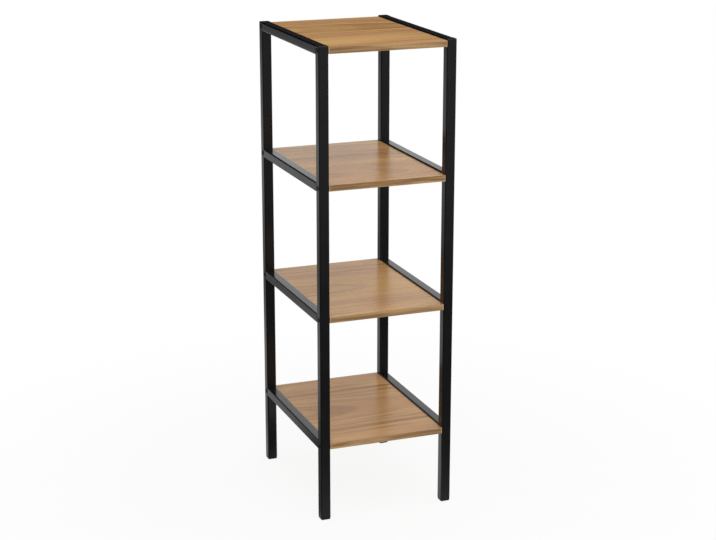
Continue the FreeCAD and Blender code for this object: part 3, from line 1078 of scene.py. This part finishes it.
def light_room(scene, settings):
    """A white surround that lights the unit at the ambient level."""
    world = bpy.data.worlds.new("studio")
    scene.world = world
    tree = NodeTree(world)
    white = seen_directly(tree)
    level = white + (1 - white) * settings.ambient
    sky = tree.add("ShaderNodeBackground", None, {"Color": solid((1, 1, 1)), "Strength": level})
    tree.output(sky, "ShaderNodeOutputWorld")


def lay_floor(settings):
    """A pale floor that keeps the unit's shadow and fades to white."""
    material, tree = new_material("studio_floor")
    radius = tree.distance(tree.place())
    seen = seen_directly(tree)
    plain = tree.add("ShaderNodeBsdfDiffuse", None, {"Color": solid(settings.floor)})
    white = tree.add("ShaderNodeEmission", None, {"Strength": 1})
    fade = FLOOR_WHITE + radius.smooth(0.3, 1.2) * (1 - FLOOR_WHITE)
    shown = tree.add("ShaderNodeMixShader", None, {0: seen * fade, 1: plain, 2: white})
    below = tree.add("ShaderNodeNewGeometry", output="Backfacing")
    clear = tree.add("ShaderNodeBsdfTransparent")
    tree.output(tree.add("ShaderNodeMixShader", None, {0: below, 1: shown, 2: clear}))
    bm = bmesh.new()
    bmesh.ops.create_circle(bm, cap_ends=True, segments=64, radius=settings.floor_radius)
    floor = mesh_object("studio_floor", bm, material)


def hang_lamp(name, place, size, power):
    """A square soft lamp that points at the middle of the unit."""
    lamp = bpy.data.lights.new(name, "AREA")
    lamp.size = size
    lamp.energy = power
    hung = add_object(name, lamp)
    low, high = CAD_BOX
    aim = (low + high) / 2 - Vector(place)
    hung.location = place
    hung.rotation_euler = aim.to_track_quat("-Z", "Y").to_euler()
    hung.visible_camera = False


def hang_flag(name, place, size):
    """An upright dark card behind the unit, which only reflections show."""
    material, tree = new_material(name)
    tree.output(flag_cloth(tree, CARD_COVER))
    bm = bmesh.new()
    bmesh.ops.create_grid(bm, x_segments=1, y_segments=1, size=0.5)
    bmesh.ops.scale(bm, vec=(*size, 1), verts=bm.verts)
    upright = Matrix.Rotation(math.radians(90), 4, "X")
    bmesh.ops.transform(bm, matrix=Matrix.Translation(place) @ upright, verts=bm.verts)
    stage_flag(name, bm, material)


def lay_flag(name, radius):
    """A dark cloth on the floor round the unit, which only reflections show. It is thin near the unit, it
    thins out again further off, and to the left of the unit it is doubled."""
    material, tree = new_material(name)
    place = tree.place()
    out = tree.distance(place)
    _, rearwards, _ = tree.axes(place)
    behind = rearwards.smooth(-0.3, 0.3)
    aside, _, _ = tree.axes(tree.add("ShaderNodeVectorMath", {"operation": "NORMALIZE"}, {0: place}))
    leftwards = 1 - aside.smooth(-0.8, -0.5)
    front = tree.profile(out, FLAG_AHEAD)
    rear = tree.profile(out, FLAG_BEHIND)
    open_share = (front + (rear - front) * behind) * (1 - leftwards * FLAG_DOUBLED)
    tree.output(flag_cloth(tree, 1 - open_share))
    bm = bmesh.new()
    bmesh.ops.create_circle(bm, cap_ends=True, segments=64, radius=radius)
    bmesh.ops.translate(bm, vec=(0, 0, 0.001), verts=bm.verts)
    stage_flag(name, bm, material)


def flag_cloth(tree, cover):
    """Black cloth that hides this share of what is behind it."""
    clear = tree.add("ShaderNodeBsdfTransparent")
    black = tree.add("ShaderNodeBsdfDiffuse", None, {"Color": solid((0, 0, 0))})
    return tree.add("ShaderNodeMixShader", None, {0: cover, 1: clear, 2: black})


def stage_flag(name, bm, material):
    """Makes a stage piece of a bmesh, which only reflections show."""
    flag = mesh_object(name, bm, material)
    flag.visible_camera = False
    flag.visible_diffuse = False
    flag.visible_shadow = False
    flag.visible_transmission = False


def place_camera(scene, settings):
    """A camera that looks at the unit from its front left, slightly from above."""
    camera = bpy.data.cameras.new("camera")
    camera.sensor_width = 36
    camera.lens = settings.lens
    back = Vector((
        math.sin(settings.azimuth) * math.cos(settings.elevation),
        -math.cos(settings.azimuth) * math.cos(settings.elevation),
        math.sin(settings.elevation),
    ))
    placed = add_object("camera", camera)
    placed.location = Vector(settings.target) + back * settings.distance
    placed.rotation_euler = (-back).to_track_quat("-Z", "Y").to_euler()
    scene.camera = placed


# ---------------------------------------------------------------- add-on


class ShelvingPanel(bpy.types.Panel):
    """Lists the unit's pieces in the order in which they are added"""

    bl_idname = "VIEW3D_PT_shelving"
    bl_label = "Shelving Unit"
    bl_space_type = "VIEW_3D"
    bl_region_type = "UI"
    bl_category = "Shelving"

    def draw(self, context):
        for step in STEPS:
            self.layout.operator(step.bl_idname)


STEPS = (
    AddPosts,
    AddRails,
    AddTopPlates,
    AddWelds,
    AddFeet,
    AddBoards,
    AddEdging,
    AddBolts,
    AddInserts,
    SetStage,
)
SETTINGS = {
    "shelving_frame": FrameSettings,
    "shelving_boards": BoardSettings,
    "shelving_fixings": FixingSettings,
    "shelving_stage": StageSettings,
}


def register():
    for group in (*SETTINGS.values(), *STEPS, ShelvingPanel):
        bpy.utils.register_class(group)
    for name, group in SETTINGS.items():
        setattr(bpy.types.Scene, name, PointerProperty(type=group))


def unregister():
    for name in SETTINGS:
        delattr(bpy.types.Scene, name)
    for group in reversed((*SETTINGS.values(), *STEPS, ShelvingPanel)):
        bpy.utils.unregister_class(group)


def main():
    """Adds every piece and the stage."""
    register()
    for step in STEPS:
        area, name = step.bl_idname.split(".")
        getattr(getattr(bpy.ops, area), name)()


if __name__ == "__main__":
    main()
